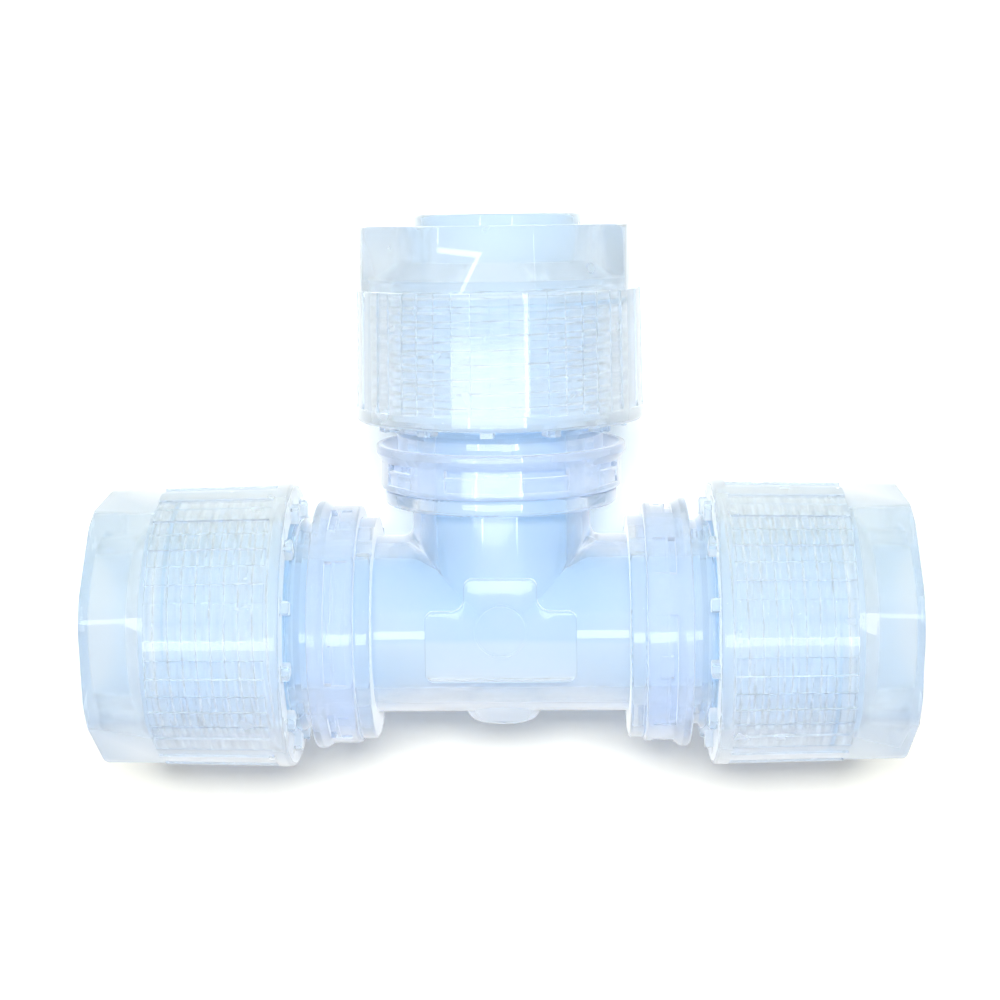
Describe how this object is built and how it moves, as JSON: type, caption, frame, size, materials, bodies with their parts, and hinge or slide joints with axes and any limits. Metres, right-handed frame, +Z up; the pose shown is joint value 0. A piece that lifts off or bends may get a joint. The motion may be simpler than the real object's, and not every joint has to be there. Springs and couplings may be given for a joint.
{
  "type": "tee connector",
  "caption": "Tube union tee: a moulded body with threaded ports, each closed by a ribbed union nut over a gauge ring and an inner sleeve.",
  "frame": {"origin": "on the surface that the tee lies on, under the middle of its outline", "axes": "+X along the run, +Y along the branch, +Z up from the surface, square to both"},
  "size_m": [0.1386, 0.0934, 0.0482],
  "materials": {
    "body": "clear bluish fluoropolymer, glossy, moulded",
    "nut": "clear milky fluoropolymer, glossy, moulded",
    "gauge_ring": "clear bluish fluoropolymer, glossy, moulded",
    "sleeve": "clear milky fluoropolymer, glossy, moulded"
  },
  "bodies": {
    "tee": {"tee_body": "body"},
    "ring_right": {"gauge_ring_right": "gauge_ring"},
    "sleeve_right": {"inner_sleeve_right": "sleeve"},
    "nut_right": {"union_nut_right": "nut"},
    "ring_branch": {"gauge_ring_branch": "gauge_ring"},
    "sleeve_branch": {"inner_sleeve_branch": "sleeve"},
    "nut_branch": {"union_nut_branch": "nut"},
    "ring_left": {"gauge_ring_left": "gauge_ring"},
    "sleeve_left": {"inner_sleeve_left": "sleeve"},
    "nut_left": {"union_nut_left": "nut"}
  },
  "joints": [
    {"name": "ring_turn_right", "type": "hinge", "parent": "tee", "child": "ring_right", "pos_m": [0.02745, -0.0226, 0.0241], "axis": [1, 0, 0], "continuous": true},
    {"name": "sleeve_slide_right", "type": "slide", "parent": "tee", "child": "sleeve_right", "axis": [1, 0, 0], "range_m": [-0.0024, 0.0207]},
    {"name": "nut_turn_right", "type": "hinge", "parent": "sleeve_right", "child": "nut_right", "pos_m": [0.0352, -0.0226, 0.0241], "axis": [1, 0, 0], "range_deg": [-374, 3227]},
    {"name": "ring_turn_branch", "type": "hinge", "parent": "tee", "child": "ring_branch", "pos_m": [0, 0.00485, 0.0241], "axis": [0, 1, 0], "continuous": true},
    {"name": "sleeve_slide_branch", "type": "slide", "parent": "tee", "child": "sleeve_branch", "axis": [0, 1, 0], "range_m": [-0.0024, 0.0207]},
    {"name": "nut_turn_branch", "type": "hinge", "parent": "sleeve_branch", "child": "nut_branch", "pos_m": [0, 0.0126, 0.0241], "axis": [0, 1, 0], "range_deg": [-374, 3227]},
    {"name": "ring_turn_left", "type": "hinge", "parent": "tee", "child": "ring_left", "pos_m": [-0.02745, -0.0226, 0.0241], "axis": [-1, 0, 0], "continuous": true},
    {"name": "sleeve_slide_left", "type": "slide", "parent": "tee", "child": "sleeve_left", "axis": [-1, 0, 0], "range_m": [-0.0024, 0.0207]},
    {"name": "nut_turn_left", "type": "hinge", "parent": "sleeve_left", "child": "nut_left", "pos_m": [-0.0352, -0.0226, 0.0241], "axis": [-1, 0, 0], "range_deg": [-374, 3227]}
  ],
  "couplings": [
    {"joint": "sleeve_slide_right", "follows": "nut_turn_right", "m_per_rad": 0.0003675},
    {"joint": "sleeve_slide_branch", "follows": "nut_turn_branch", "m_per_rad": 0.0003675},
    {"joint": "sleeve_slide_left", "follows": "nut_turn_left", "m_per_rad": 0.0003675}
  ]
}
